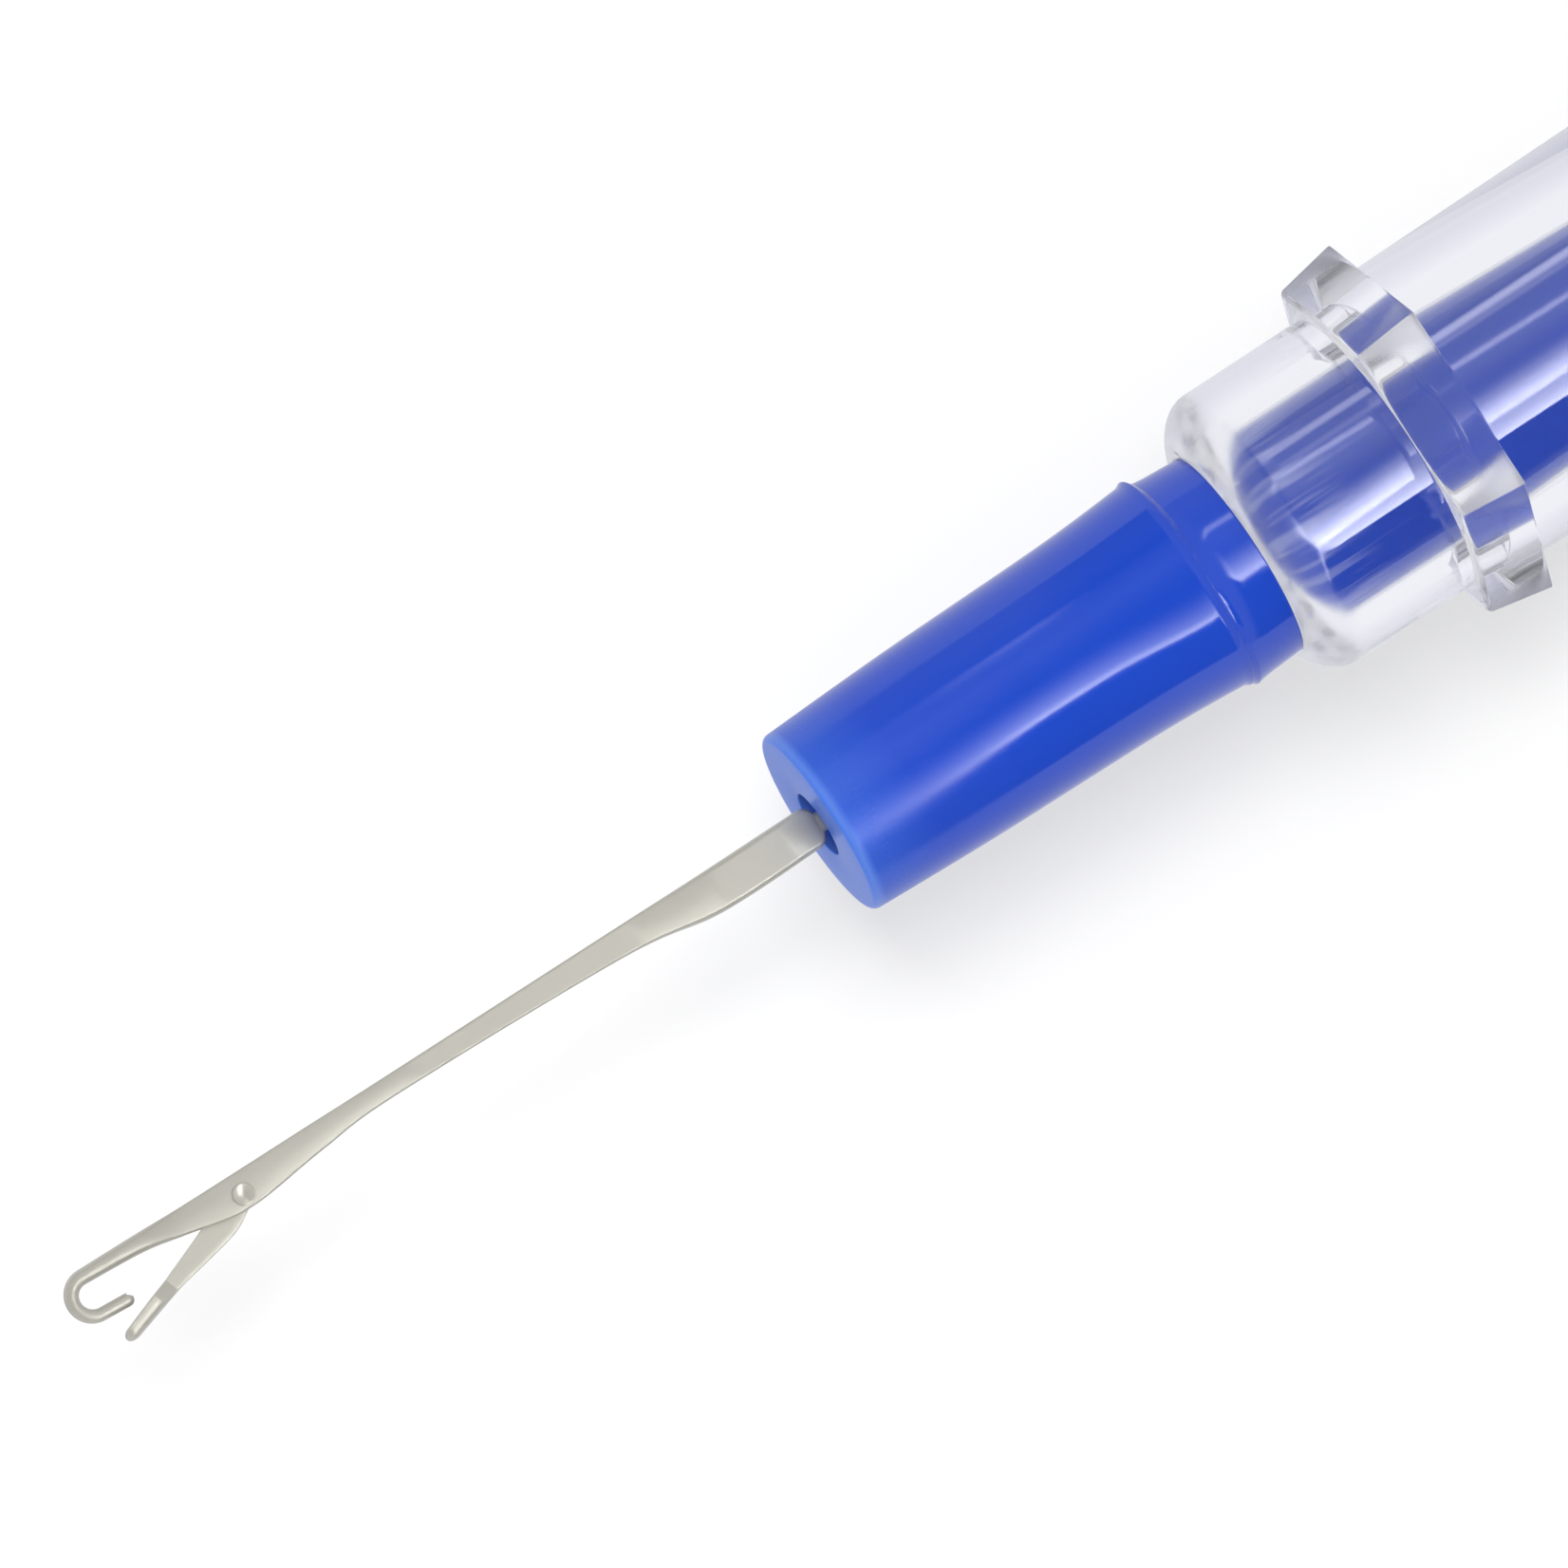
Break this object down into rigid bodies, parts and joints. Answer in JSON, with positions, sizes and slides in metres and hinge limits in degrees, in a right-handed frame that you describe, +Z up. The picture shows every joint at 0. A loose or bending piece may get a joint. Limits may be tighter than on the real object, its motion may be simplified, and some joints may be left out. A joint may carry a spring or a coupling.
{
  "type": "latch hook knit picker",
  "caption": "Hand tool for mending knitwear: a latch needle in a plastic holder, with a clear handle and an anti-roll collar.",
  "frame": {"origin": "on the resting surface, under the middle of the tool's length", "axes": "+X along the tool from the hook to the closed end of the handle; +Z up from the surface, square to the needle's flat sides; the open side of the hook faces -Y"},
  "size_m": [0.1398, 0.016, 0.0148],
  "materials": {
    "clear_plastic": "clear polished plastic",
    "blue_plastic": "glossy opaque royal blue",
    "needle_steel": "satin nickel-plated steel",
    "latch_steel": "satin nickel-plated steel",
    "rivet_steel": "polished steel"
  },
  "bodies": {
    "tool": {"clear_handle": "clear_plastic", "needle_holder": "blue_plastic", "hook_needle": "needle_steel", "latch_rivet": "rivet_steel"},
    "latch": {"latch": "latch_steel"}
  },
  "joints": [
    {"name": "latch_swing", "type": "hinge", "parent": "tool", "child": "latch", "pos_m": [-0.06167, 0.00023, 0.0074], "axis": [0, 0, 1], "range_deg": [-6.8, 143.2]}
  ]
}
